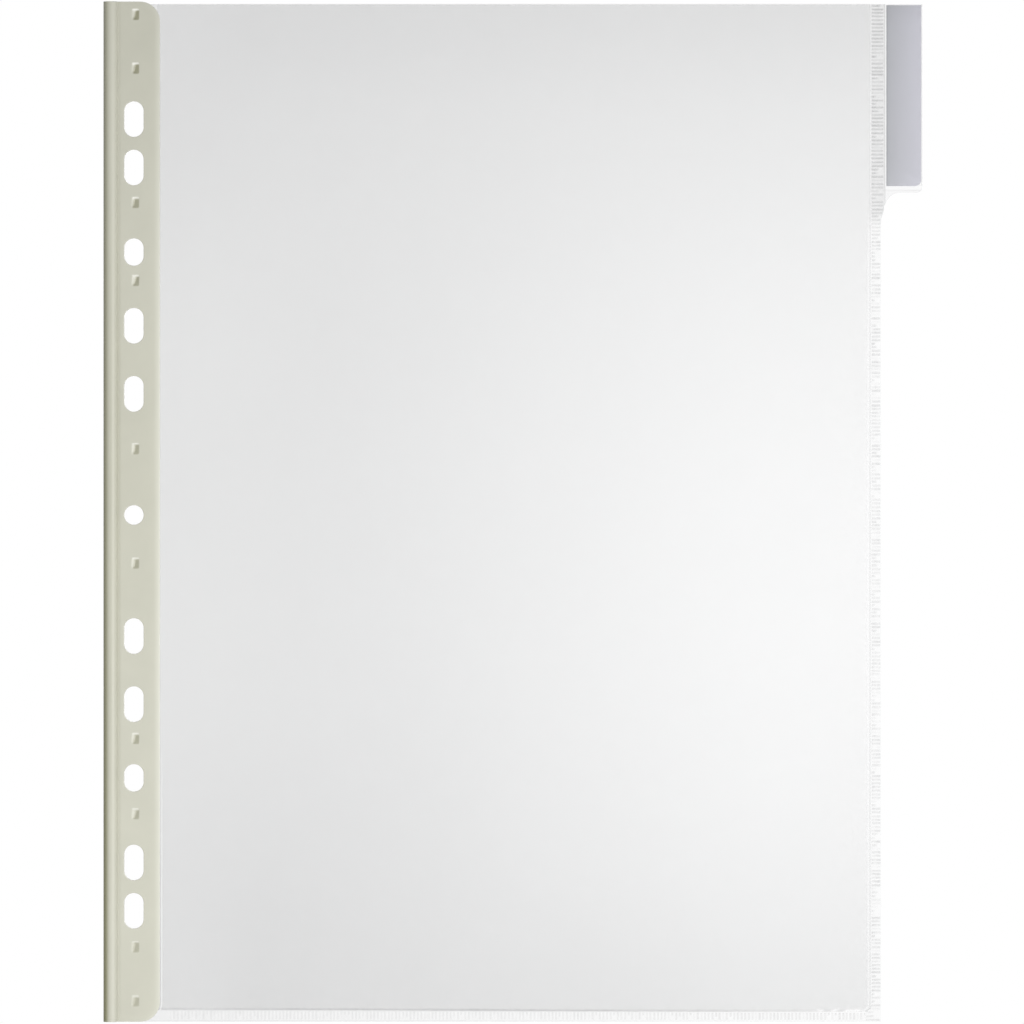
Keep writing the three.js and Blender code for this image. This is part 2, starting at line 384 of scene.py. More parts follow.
def add_piece(bm, name, material, replaced, body=None):
    """Makes a piece that stands for CAD nodes, and rides on a body or stays where it is built"""
    piece = add_mesh(bm, name, material)
    if body:
        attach(piece, body)
    else:
        start, end = ((x, 0, 0) for x in BEND)
        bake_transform(piece)
        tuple(start)
        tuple(end)
    if replaced:
        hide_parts(replaced)


# The filing punch and the windows of the spot welds


def punch_shapes():
    """Centre height and straight length of the round hole and of each slot"""
    shapes = [(0.0, 0.0)]
    for opening in frame["record"]["physics"]["openings"]:
        low, high = opening["box_m"][0][2], opening["box_m"][1][2]
        shapes.append(((low + high) / 2, high - low - OPENING_ENDS))
    return shapes


def slot_loop(bm, radius, centre, straight, depth):
    """A closed loop of edges with round ends, standing at a depth in Y"""
    upright = Matrix.Rotation(math.pi / 2, 4, "X")
    half_step = Matrix.Rotation(math.pi / HOLE_STEPS, 4, "Z")
    made = bmesh.ops.create_circle(
        bm, segments=HOLE_STEPS, radius=radius, matrix=upright @ half_step
    )
    verts = sorted(made["verts"], key=lambda vert: math.atan2(vert.co.z, vert.co.x))
    for vert in verts:
        end = centre + math.copysign(straight / 2, vert.co.z)
        vert.co = (vert.co.x, depth, vert.co.z + end)
    edges = [bm.edges.get(pair) for pair in zip(verts, verts[1:] + verts[:1])]
    return verts, edges


def slot_distance(x, z):
    """Distance of a point from the middle line of the nearest hole or slot"""
    return min(
        math.hypot(x, max(0.0, abs(z - centre) - straight / 2))
        for centre, straight in punch_shapes()
    )


def window_loops(bm, depth):
    """The edges of the windows that the spot welds fill"""
    edges = []
    for name in WELD_NAMES:
        low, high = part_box(name)
        corners = [(low.x, low.z), (high.x, low.z), (high.x, high.z), (low.x, high.z)]
        edges += chain(bm, [(x, depth, z) for x, z in corners], closed=True)[1]
    return edges


# Binding strip


HOLE_STEPS = 48
STRETCH = 7 * MM
CORNER_STEPS = 14
BEAD_STEPS = 44
TROUGH_STEPS = 5
TROUGH_WIDTH = 1.1 * MM
# Height over which the bead's round side blends into the trough
BEAD_BLEND = 0.45 * MM
# A narrow flat band beside each rounding, so that its shading ends there
FLAT_SUPPORT = 0.15 * MM
# Distances from a leaf's free edge at which its surface changes
LEAF_RINGS = tuple(mm * MM for mm in (0, 0.3, 0.6, 0.9, 1.3, 1.8, 2.6, 3.6))
EDGE_BAND = 1.8 * MM


def bead_section():
    """The bead's outer line, from the front leaf round to the rear one"""
    strip = settings("strip")
    centre = STRIP_LOW.x + strip.bead_width / 2
    crease = STRIP_LOW.x + strip.bead_width
    low_face = strip.leaf_face - strip.trough
    approach = [(crease + TROUGH_WIDTH + FLAT_SUPPORT, -strip.leaf_face)]
    for step in range(TROUGH_STEPS):
        share = step / TROUGH_STEPS
        x = crease + TROUGH_WIDTH * (1 - share)
        approach.append((x, -strip.leaf_face + strip.trough * smooth_step(0, 1, share)))
    points = []
    for step in range(BEAD_STEPS + 1):
        angle = 2 * math.pi * step / BEAD_STEPS
        x = centre + strip.bead_width / 2 * math.cos(angle)
        y = strip.bead_depth / 2 * abs(math.sin(angle))
        if math.cos(angle) > 0:
            near = max(0.0, 1 - abs(y - low_face) / BEAD_BLEND)
            y = max(y, low_face) + near * near * BEAD_BLEND / 4
        points.append((x, -y if step < BEAD_STEPS / 2 else y))
    return approach + points + [(x, -y) for x, y in reversed(approach)]


def leaf_outline(inset):
    """The front leaf's free outline, moved in by inset, from its upper to its lower root"""
    strip = settings("strip")
    root = bead_section()[0][0]
    across = strip.corner - inset
    up = strip.corner - inset / 2
    centre_x = STRIP_HIGH.x - strip.corner
    points = [(root, STRIP_HIGH.z - inset / 2)]
    points += arc(centre_x, STRIP_HIGH.z - strip.corner, across, up, 90, -90, CORNER_STEPS)
    points += arc(centre_x, STRIP_LOW.z + strip.corner, across, up, 0, -90, CORNER_STEPS)
    points.append((root, STRIP_LOW.z + inset / 2))
    return subdivided([(x, -strip.leaf_face, z) for x, z in points])


def front_leaf(bm):
    """The flat front leaf with its punch. Returns the vertices of its root, downwards"""
    strip = settings("strip")
    verts, edges = chain(bm, leaf_outline(0))
    upper, lower = [verts[0]], [verts[-1]]
    for inset in LEAF_RINGS[1:]:
        verts, edges = extrude_chain(bm, verts, edges, leaf_outline(inset))
        upper.append(verts[0])
        lower.insert(0, verts[-1])
    between, root_edges = [], []
    for place in subdivided([verts[0].co, verts[-1].co])[1:-1]:
        between.append(bm.verts.new(place))
    for pair in zip([verts[0]] + between, between + [verts[-1]]):
        root_edges.append(bm.edges.new(pair))
    border = edges + root_edges
    radius = strip.hole_width / 2
    rim = radius + strip.hole_lip
    for centre, straight in punch_shapes():
        loop = slot_loop(bm, rim + FLAT_SUPPORT, centre, straight, -strip.leaf_face)
        border += loop[1]
        for reach in (rim, radius + 0.35 * strip.hole_lip, radius):
            # The loop's own radius, from its topmost vertex half a step off the top
            top = max(vert.co.z for vert in loop[0]) - centre - straight / 2
            ratio = reach * math.cos(math.pi / HOLE_STEPS) / top
            places = []
            for vert in loop[0]:
                end = centre + math.copysign(straight / 2, vert.co.z - centre)
                places.append((vert.co.x * ratio, vert.co.y, end + (vert.co.z - end) * ratio))
            loop = extrude_chain(bm, *loop, places)
    border += window_loops(bm, -strip.leaf_face)
    fill_flat(bm, border, (0, -1, 0))
    return upper + between + lower


def past_corner(x, z):
    """How far a point lies beyond the centre of the nearest free corner, across and up"""
    corner = settings("strip").corner
    over = max(0.0, z - (STRIP_HIGH.z - corner), STRIP_LOW.z + corner - z)
    return max(0.0, x - STRIP_HIGH.x + corner), over


def leaf_fall(x, z):
    """How far a leaf's face lies below its full height at a point, and how much light is painted on it"""
    strip = settings("strip")
    run, over = past_corner(x, z)
    distance, weight = STRIP_HIGH.x - x, 1.0
    if over > 0:
        distance = strip.corner - math.hypot(run, over)
        weight = run / max(1e-9, math.hypot(run, over))
    crown = strip.crown * max(0.0, 1 - distance / LEAF_RINGS[-1]) ** 2
    band = strip.edge_fall * max(0.0, 1 - distance / EDGE_BAND) ** 1.5
    # Painted light, stronger towards the free edge, as though light came through the thin plastic
    painted_light = 0.2 * max(0.0, 1 - distance / EDGE_BAND) ** 1.8 * weight
    return (crown + band) * weight, painted_light


def lip_fall(x, z):
    """How far the rounded lip of a hole falls off at a point"""
    strip = settings("strip")
    inside = strip.hole_width / 2 + strip.hole_lip - slot_distance(x, z)
    share = min(1.0, max(0.0, inside / strip.hole_lip))
    return strip.hole_lip * (1 - math.sqrt(1 - share * share))


def strip_painted_shade(run, z):
    """Painted shade on the strip at a distance from its fold. Dark along the fold, more so low
    down, and a little darker in the valley and on the crest of the bead"""
    valley = bell(run, settings("strip").bead_width, 0.5 * MM)
    crest = bell(run, 2.8 * MM, 0.9 * MM)
    fold = (0.73 - 1.8 * z) * (1 - smooth_step(0.5 * MM, 2.2 * MM, run))
    # Painted shade: a broad dip around the middle of the strip's height
    painted_dip = 0.05 * bell(z, 10 * MM, 45 * MM)
    middle = math.exp(-(((z + 5 * MM) / (110 * MM)) ** 4))
    return max(fold, painted_dip) + (0.06 + 0.12 * middle) * valley + (0.02 + 0.2 * middle) * crest


def strip_mesh():
    """The folded strip: the front leaf, its mirror image and the bead between them"""
    strip = settings("strip")
    bm = bmesh.new()
    root = front_leaf(bm)
    leaf = list(bm.verts) + list(bm.edges) + list(bm.faces)
    copy = bmesh.ops.duplicate(bm, geom=leaf)["geom"]
    bmesh.ops.scale(bm, verts=only_verts(copy), vec=(1, -1, 1))
    edges = [bm.edges.get(pair) for pair in zip(root, root[1:])]
    for x, y in bead_section()[1:]:
        places = [(x, y, vert.co.z) for vert in root]
        root, edges = extrude_chain(bm, root, edges, places)
    bmesh.ops.remove_doubles(bm, verts=bm.verts, dist=0.001 * MM)
    bmesh.ops.recalc_face_normals(bm, faces=bm.faces)
    front = min(bm.faces, key=lambda face: face.calc_center_median().y)
    if front.normal.y > 0:
        bmesh.ops.reverse_faces(bm, faces=bm.faces)
    thicken(bm, strip.wall)
    root_x = bead_section()[0][0]
    painted_light = bm.verts.layers.float.new("painted_light")
    painted_shade = bm.verts.layers.float.new("painted_shade")
    for vert in bm.verts:
        x, y, z = vert.co
        # Painted shade along the fold, in the valley and on the bead's crest
        vert[painted_shade] = strip_painted_shade(x - STRIP_LOW.x, z)
        if x > root_x + EDGE_BAND / 4 and abs(y) > strip.leaf_face - strip.wall / 2:
            fall, painted_glow = leaf_fall(x, z)
            lip = lip_fall(x, z)
            # Painted light at the thin free edge, and a painted highlight on the lips of the holes
            vert[painted_light] = max(painted_glow, 0.7 * lip / strip.hole_lip)
            vert.co.y = math.copysign(abs(y) - max(fall, lip), y)
    reach = strip.hole_width / 2 + strip.hole_lip
    ends = (STRIP_HIGH.z - 0.3 * MM, STRIP_LOW.z + 0.3 * MM)
    rim = []
    for edge in bm.edges:
        middle = (edge.verts[0].co + edge.verts[1].co) / 2
        free = middle.x > reach or middle.z > ends[0] or middle.z < ends[1]
        if free and edge.calc_face_angle(0) > CUT_ANGLE:
            rim.append(edge)
    round_edges(bm, rim, EDGE_ROUNDING, 2)
    mark_sharp(bm, 30)
    return bm


def weld_mark(u, v, edge, top):
    """Depth, painted highlight and painted shade of a fused spot. U and v run from -1 to 1,
    edge is where the painted shade on its floor begins across, and top is how far the
    painted highlight on its upper slope reaches"""
    reach_u, reach_v = max(0.0, abs(u) - 0.55), max(0.0, abs(v) - 0.7) * 1.5
    inside = 1 - smooth_step(0.22, 0.45, math.hypot(reach_u, reach_v))
    upper = smooth_step(1 - 0.85 * top, 1 - 0.35 * top, v)
    # Painted shade on the floor of the dish, right of the edge
    floor = smooth_step(edge - 0.4, edge + 0.25, u) * (1 - upper)
    lowest = max(-0.5, edge + 0.3)
    left = smooth_step(-1, lowest, u)
    right = min(1.0, max(0.0, (1 - u) / (1 - lowest)))
    depth = left * right * smooth_step(-1, -0.45, v) * smooth_step(1, 1 - top, v)
    # Painted highlight on the upper slope, and a faint one beside the shaded floor
    painted_glow = upper * smooth_step(-1, -0.6, u) + 0.1 * (1 - floor) * (1 - upper)
    return depth, painted_glow * inside, floor * inside


def weld_mesh(name, chance, strength):
    """A fused spot: a block that fills its window, dished in front and faintly behind"""
    low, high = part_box(name)
    centre, half = (low + high) / 2, (high - low) / 2
    lean, start = chance.uniform(0.2, 0.45), chance.uniform(-0.45, -0.1)
    top, depth = chance.uniform(0.5, 0.75), chance.uniform(0.32, 0.42) * MM
    bm = bmesh.new()
    columns = spread(-half.x, half.x, 0.1 * MM)
    rows = spread(-half.z, half.z, 0.12 * MM)
    painted_light = bm.verts.layers.float.new("painted_light")
    painted_shade = bm.verts.layers.float.new("painted_shade")
    grid(bm, columns, rows, lambda u, v: (u, -half.y, v))
    thicken(bm, 2 * half.y)
    for vert in bm.verts:
        u, v = vert.co.x / half.x, vert.co.z / half.z
        dish, painted_glow, dark = weld_mark(u, v, start + lean * v, top)
        if vert.co.y < 0:
            # Painted highlight on the upper slope and painted shade on the floor of the dish, in front only
            vert[painted_light] = 0.85 * strength * painted_glow
            vert[painted_shade] = 0.72 * strength * dark
            vert.co.y += depth * dish
        else:
            vert.co.y -= 0.15 * MM * dish
        vert.co += centre
    mark_sharp(bm, 60)
    return bm


# Film


SEAM_SLOPE = 0.8 * MM
# Where the leaves begin inside the strip, and where their margins end
STRIP_HOLD = 7 * MM
# Places either side of the crease; the leaves part from each other beyond the second
BEND = (CREASE_X - 0.5 * MM, CREASE_X + 0.5 * MM)
PINCH = CREASE_X + 0.8 * MM
# The side seam is this much wider beside the tab, from SIDE_STEP_TOP upwards
SIDE_STEP = 0.95 * MM
SIDE_STEP_TOP = 92.95 * MM
SIDE_STEP_RISE = 3.2 * MM
SIDE_STEP_LOW = SIDE_STEP_TOP - SIDE_STEP_RISE


def film_start():
    """Where the films begin inside the strip, beside the trough"""
    return bead_section()[1][0]


def seam_line():
    """Left edge of the side seam and upper edge of the bottom seam"""
    seam = settings("seam")
    return LEAF_HIGH.x - SIDE_STEP - seam.side_width, LEAF_LOW.z + seam.bottom_width


def seam_sink(x):
    """How much lower the bottom seam's upper border lies at a place"""
    return 0.6 * MM * smooth_step(0.0, 0.19, x)


def beside_tab(z):
    """0 below the tab, 1 beside it"""
    return smooth_step(SIDE_STEP_LOW - 4 * MM, SIDE_STEP_TOP, z)


def side_step(z):
    """How much wider the side seam is at a height"""
    return SIDE_STEP * min(1.0, max(0.0, (z - SIDE_STEP_LOW) / SIDE_STEP_RISE))


def seam_border(z):
    """Where the pocket ends and the side seam starts at a height"""
    edge, bottom = seam_line()
    corner = settings("seam").corner
    drop = min(1.0, max(0.0, (bottom + corner - z) / corner))
    return edge - corner * (1 - math.sqrt(1 - drop * drop))


def film_height(x, z, side):
    """Distance of a leaf's outer face from the middle plane"""
    film = settings("film")
    edge, bottom = seam_line()
    left = smooth_step(PINCH, PINCH + SEAM_SLOPE, x)
    low = smooth_step(bottom, bottom + SEAM_SLOPE, z)
    border = seam_border(z)
    right = smooth_step(border, border - SEAM_SLOPE, x)
    lift = min(left, low, right)
    sink = (1 - beside_tab(z)) * 0.005 * MM * (1 - right) * left
    away = smooth_step(PINCH, PINCH + 25 * MM, x) * smooth_step(border, border - 20 * MM, x)
    away *= smooth_step(bottom, bottom + 25 * MM, z)
    ripple = rough(x * 11, side * 3.1, z * 7)
    ripple += 0.5 * rough(x * 23 + 5, side * 1.7, z * 17)
    span = math.sin(math.pi * min(1.0, max(0.0, (x - PINCH) / (edge - PINCH))))
    open_top = smooth_step(LEAF_HIGH.z - 0.09, LEAF_HIGH.z, z)
    bulge = film.mouth * open_top * span
    shared = film.wave * rough(x * 9, 7.7, z * 6) * side
    swell = film.wave * ripple * 0.5 + film.wave * 0.5
    apart = film.stand_off * max(lift, 0.06) - sink
    return film.wall + apart + away * (bulge + swell + shared)


def spread(start, end, step):
    """Evenly spaced places from start to end, at most a step apart"""
    count = max(1, math.ceil((end - start) / step - 1e-6))
    return [start + (end - start) * index / count for index in range(count + 1)]


def stations(start, *runs):
    """Places from start on. Each run names its largest step and where it ends"""
    places = [start]
    for step, end in zip(runs[::2], runs[1::2]):
        places += spread(places[-1], end, step)[1:]
    return places


def film_mesh(side):
    """One leaf, from inside the strip across the crease to the side seam"""
    film = settings("film")
    edge, bottom = seam_line()
    columns = stations(
        STRIP_HOLD,
        *(0.4 * MM, STRIP_HIGH.x),
        *(0.1 * MM, BEND[1]),
        *(0.2 * MM, PINCH + SEAM_SLOPE),
        *(2.5 * MM, 20 * MM),
        *(5 * MM, edge - 22 * MM),
        *(0.4 * MM, edge - SEAM_SLOPE),
        *(0.16 * MM, edge),
    )
    corner = bottom + settings("seam").corner
    rows = stations(
        bottom,
        *(0.16 * MM, bottom + SEAM_SLOPE),
        *(0.2 * MM, corner),
        *(2 * MM, corner + 10 * MM),
        *(5 * MM, SIDE_STEP_LOW),
        *(0.8 * MM, SIDE_STEP_TOP),
        *(5 * MM, LEAF_HIGH.z - 3 * MM),
        *(1 * MM, LEAF_HIGH.z),
    )

    def place(x, z):
        # Columns near the side seam lean over to follow its rounded lower corner
        share = max(0.0, 1 - (edge - x) / (12 * MM))
        x -= (edge - seam_border(z)) * share
        sink = seam_sink(x) * smooth_step(bottom + 10 * MM, bottom, z)
        return x, side * film_height(x, z, side), z - sink

    bm = bmesh.new()
    grid(bm, columns, rows, place)
    if side > 0:
        bmesh.ops.reverse_faces(bm, faces=bm.faces)
    thicken(bm, film.wall)
    set_cover(bm, leaf_cover)
    mark_sharp(bm, 40)
    return bm


def set_cover(bm, cover):
    """Stores how much each surface hides, as cover(x, z)"""
    layer = bm.verts.layers.float.new("cover")
    for vert in bm.verts:
        vert[layer] = cover(vert.co.x, vert.co.z)


def strip_gap(x, z):
    """Distance of a point outside the strip's free outline"""
    return math.hypot(*past_corner(x, z)) - settings("strip").corner


def haze_and_painted_shade(x, z):
    """How much the leaves hide at a place, as a share of their even haze: more towards their
    ends, a painted shade, and less beside the strip, a painted light
    """
    lower = 0.18 * smooth_step(-0.02, -0.15, z) * (1 - 0.25 * smooth_step(0.15, 0.2, x))
    lower *= 0.3 + 0.7 * smooth_step(0.005, 0.04, x)
    upper = 0.145 * smooth_step(0.115, 0.155, z) * (0.4 + 0.6 * smooth_step(0.01, 0.04, x))
    beside_strip = 0.13 * smooth_step(0.07, 0.01, x) * smooth_step(0.13, 0.05, abs(z))
    return 1 + lower + upper - beside_strip


def leaf_cover(x, z):
    """Even over the leaf but for its painted shade, with a painted shade line and a painted
    highlight line where it meets a seam, a painted highlight just outside the strip's edge,
    and painted glints along the bottom seam near the side seam
    """
    edge, bottom = seam_line()
    bottom -= seam_sink(x)
    even = settings("film").alpha * haze_and_painted_shade(x, z)
    faded = 1 - smooth_step(0.14, 0.21, x)
    uneven = 0.7 + 0.6 * rough(x * 70, 3.3, 0)
    # Painted shade line just above the bottom seam
    low = bell(z, bottom + 0.3 * MM, 0.3 * MM) * faded * uneven
    gap = seam_border(z) - x
    # Painted highlight lines beside the side seam
    bright = bell(gap, 0.65 * MM, 0.35 * MM) * (1 - 0.8 * beside_tab(z))
    bright += 1.1 * bell(gap, 0, 0.15 * MM)
    # Painted highlight just outside the strip's free edge, strongest low down
    edge_glint = bell(strip_gap(x, z), 0.55 * MM, 0.16 * MM)
    edge_glint *= 0.15 + 0.85 * (1 - smooth_step(-0.125, -0.06, z))
    # Painted glints along the bottom seam near the side seam, where the weld squeezed out
    flash_glints = max(0.0, 0.25 + rough(x * 420, 1.9, z * 500))
    flash_glints *= smooth_step(edge - 20 * MM, edge - 12 * MM, x)
    flash_glints *= bell(z, bottom + 0.35 * MM, 0.5 * MM)
    painted_highlight = 0.6 * bright + 0.5 * edge_glint + 1.3 * flash_glints
    return even * max(0.2, 1 + 0.3 * low - painted_highlight)


def margin_mesh(side):
    """The punched edge of a leaf inside the strip"""
    film = settings("film")
    radius = settings("strip").hole_width / 2
    depth = side * film.wall
    start, bottom, top = film_start(), seam_line()[1], MARGIN_TOP
    corners = [(start, bottom), (STRIP_HOLD, bottom), (STRIP_HOLD, top), (start, top)]
    outline = subdivided([(x, depth, z) for x, z in corners + corners[:1]])
    bm = bmesh.new()
    border = chain(bm, outline[:-1], closed=True)[1]
    for centre, straight in punch_shapes():
        border += slot_loop(bm, radius, centre, straight, depth)[1]
    border += window_loops(bm, depth)
    faces = fill_flat(bm, border, (0, side, 0))
    if faces[0].normal.y * side < 0:
        bmesh.ops.reverse_faces(bm, faces=bm.faces)
    thicken(bm, film.wall)
    set_cover(bm, lambda x, z: film.alpha)
    mark_sharp(bm, 13)
    return bm


def rib_grooves(count, chance):
    """For each rib: how deep it was pressed, and how far it reaches across the seam"""
    ribs = []
    for _ in range(count):
        faint = chance.random() < 0.16
        depth = chance.uniform(0.25, 0.5) if faint else chance.uniform(0.75, 1.1)
        short = chance.random() < 0.2
        reach = chance.uniform(0.35, 0.7) if short else 1.0
        ribs.append((depth, reach, chance.uniform(-0.08, 0.08)))
    return ribs


RIB_ROWS = 6


def groove(ribs, along, across):
    """Depth share of the grooves at a place, given in ribs along and 0 to 1 across"""
    index = min(len(ribs) - 1, max(0, int(along)))
    depth, reach, shift = ribs[index]
    phase = abs(along - index - 0.5 - shift) * 2
    profile = max(0.0, 1 - phase / 0.8)
    ends = smooth_step(0.0, 0.06, across) * (1 - smooth_step(reach - 0.12, reach, across))
    return depth * min(1.0, profile * 1.7) * ends


def flash(place, seed):
    """Height share of the squeezed-out bead beside a seam, uneven along its length"""
    wide = rough(place * 210, seed, 0.4)
    fine = rough(place * 900, seed, 2.4)
    return max(0.0, 0.45 + 0.5 * wide + 0.45 * fine)


def bar_height(pressed, ridge, fall):
    """Height of a seam's face over the films: its grooves, its bead and its thin borders"""
    height = 0.07 * MM * ridge - 0.05 * MM * fall
    return height - settings("seam").rib_depth * pressed


def seam_mesh(columns, rows, place, relief):
    """A welded bar: ribbed in front, nearly flat behind. Place gives X and Z"""
    film = settings("film")
    bm = bmesh.new()
    layer = bm.verts.layers.float.new("cover")
    grid(bm, columns, rows, lambda u, v: (u, -film.wall, v))
    thicken(bm, 2 * film.wall)
    for vert in bm.verts:
        u, v = vert.co.x, vert.co.z
        x, z = place(u, v)
        height, vert[layer] = relief(u, v)
        if vert.co.y < 0:
            vert.co = (x, -film.wall - height, z)
        else:
            vert.co = (x, film.wall + 0.2 * height, z)
    mark_sharp(bm, 60)
    return bm


def side_seam_mesh():
    """The fused seam at the side, a little wider beside the tab"""
    seam = settings("seam")
    edge, bottom = seam_line()
    count = math.ceil((LEAF_HIGH.z - LEAF_LOW.z) / seam.rib_pitch)
    ribs = rib_grooves(count, random.Random(seam.seed))
    shares = (0, 0.04, 0.08, 0.13, 0.19, 0.3, 0.45, 0.6, 0.75, 0.88, 0.94, 0.98, 1)
    pitch = seam.rib_pitch / RIB_ROWS
    runs = (pitch, SIDE_STEP_LOW, pitch, SIDE_STEP_TOP, pitch, LEAF_HIGH.z)
    rows = stations(LEAF_LOW.z, *runs)

    def place(share, z):
        left = seam_border(z) if z > bottom else edge - seam.corner
        width = edge + seam.side_width + side_step(z)
        free = smooth_step(SIDE_STEP_LOW, SIDE_STEP_LOW - 5 * MM, z)
        width -= free * 0.06 * MM * abs(rough(z * 90, 4.2, 0))
        return left + (width - left) * share, z

    def relief(share, z):
        along = (z - LEAF_LOW.z) / seam.rib_pitch
        pressed = groove(ribs, along, (share - 0.02) / 0.98)
        layers = beside_tab(z)
        below = 1 - 0.85 * layers
        ridge = bell(share, 0.1, 0.05) * below * flash(z, 1.3)
        fall = (1 - smooth_step(0.0, 0.06, share)) * below + smooth_step(0.94, 1.0, share)
        speck = rough(share * 5, 2.2, z * 1600)
        patch = rough(share * 2, 8.8, z * 240)
        # Painted shade in the grooves: they hide more, so they look darker. Beside the tab, its film layers hide
        # more
        cover = 0.055 + (0.24 + 0.14 * patch + 0.12 * speck) * pressed + 0.19 * layers
        cover -= 0.1 * layers * max(0.0, speck)
        # Painted shade line along the seam's inner border, below the tab
        line = bell(share, 0.03, 0.05) * (1 - layers)
        return bar_height(pressed, ridge, fall), cover + 0.02 * line

    return seam_mesh(shares, rows, place, relief)


def bottom_seam_mesh():
    """The fused seam along the bottom, from inside the strip to the side seam"""
    seam = settings("seam")
    edge, bottom = seam_line()
    start, end = film_start(), edge - seam.corner
    count = math.ceil((end - start) / seam.rib_pitch)
    ribs = rib_grooves(count, random.Random(seam.seed + 1))
    bend = (1 * MM, CREASE_X - 0.6 * MM, 0.1 * MM, PINCH)
    columns = stations(start, *bend, seam.rib_pitch / RIB_ROWS, end)
    shares = (0, 0.02, 0.06, 0.12, 0.25, 0.4, 0.55, 0.7, 0.81, 0.87, 0.92, 0.96, 1)

    def place(x, share):
        wobble = 0.04 * MM * rough(x * 60, 9.1, 0) * (1 - share)
        height = bottom - seam_sink(x) - LEAF_LOW.z
        return x, LEAF_LOW.z + height * share + max(0.0, wobble)

    def relief(x, share):
        along = (x - start) / seam.rib_pitch
        fresh = smooth_step(PINCH, PINCH + 2 * MM, x)
        pressed = groove(ribs, along, (1 - share - 0.08) / 0.8) * fresh
        ridge = bell(share, 0.9, 0.05) * fresh * flash(x, 5.9)
        fall = (1 - smooth_step(0.0, 0.06, share) + smooth_step(0.94, 1.0, share)) * fresh
        # Painted shade, darker towards the strip
        shade_ramp = 0.14 - 0.055 * x / edge
        # Painted shade line along the upper border, near the strip
        line = bell(share, 0.97, 0.06) * (1 - smooth_step(0.12, 0.22, x))
        # Painted shade line along the lower edge, fainter towards the side seam
        rim = bell(share, 0.03, 0.05) * (1 - 0.6 * smooth_step(0.10, 0.2, x))
        # Painted shade in the grooves, stronger towards the side seam, where the land between them is lighter
        groove_shade = 0.04 + 0.08 * smooth_step(0.10, 0.2, x)
        cover = shade_ramp - 0.2 * groove_shade + groove_shade * pressed + 0.08 * line + 0.06 * rim
        return bar_height(pressed, ridge, fall), cover

    return seam_mesh(columns, shares, place, relief)


# Index tab and label card


TAB_HEIGHT = 57.3 * MM
TAB_ARC_STEPS = 12
# The fillet under the tab: its width, and where its line bends, out from the seam and
# below the tab
FILLET_WIDTH = 5.3 * MM
FILLET_OUT = 1 * MM
FILLET_BELOW = 0.8 * MM
FILLET_STEPS = 14
# Room round the card in its slot, and the fused rim round the slot
CARD_PLAY = 0.05 * MM
CARD_SIDE_PLAY = 0.1 * MM
POUCH_RIM = 0.5 * MM
TINY = 0.01 * MM


def tab_outline():
    """The tab beyond the side seam, with the fillet under it"""
    tab = settings("tab")
    edge = seam_line()[0] + settings("seam").side_width
    bottom = TAB_HIGH.z - TAB_HEIGHT
    start = Vector((edge, SIDE_STEP_LOW))
    bend = Vector((edge + FILLET_OUT, bottom - FILLET_BELOW))
    end = Vector((edge + FILLET_WIDTH, bottom))
    points = []
    # The share of the fillet's curve at which it comes out of the seam
    curve = FILLET_WIDTH - 2 * FILLET_OUT
    first = (math.sqrt(FILLET_OUT**2 + curve * SIDE_STEP) - FILLET_OUT) / curve
    for step in range(FILLET_STEPS + 1):
        share = first + (1 - first) * step / FILLET_STEPS
        point = start.lerp(bend, share).lerp(bend.lerp(end, share), share)
        points.append((point.x, point.y))
    points += lower_corner(TAB_HIGH.x, bottom, tab.corner)
    points.append((TAB_HIGH.x, TAB_HIGH.z))
    points.append((edge + SIDE_STEP, TAB_HIGH.z))
    return points


def lower_corner(right, bottom, radius):
    return arc(right - radius, bottom + radius, radius, radius, -90, 90, TAB_ARC_STEPS)


def cut_line(bm, point, normal):
    """Cuts every face along the plane through point"""
    whole = list(bm.verts) + list(bm.edges) + list(bm.faces)
    bmesh.ops.bisect_plane(bm, geom=whole, plane_co=point, plane_no=normal, dist=1e-7)


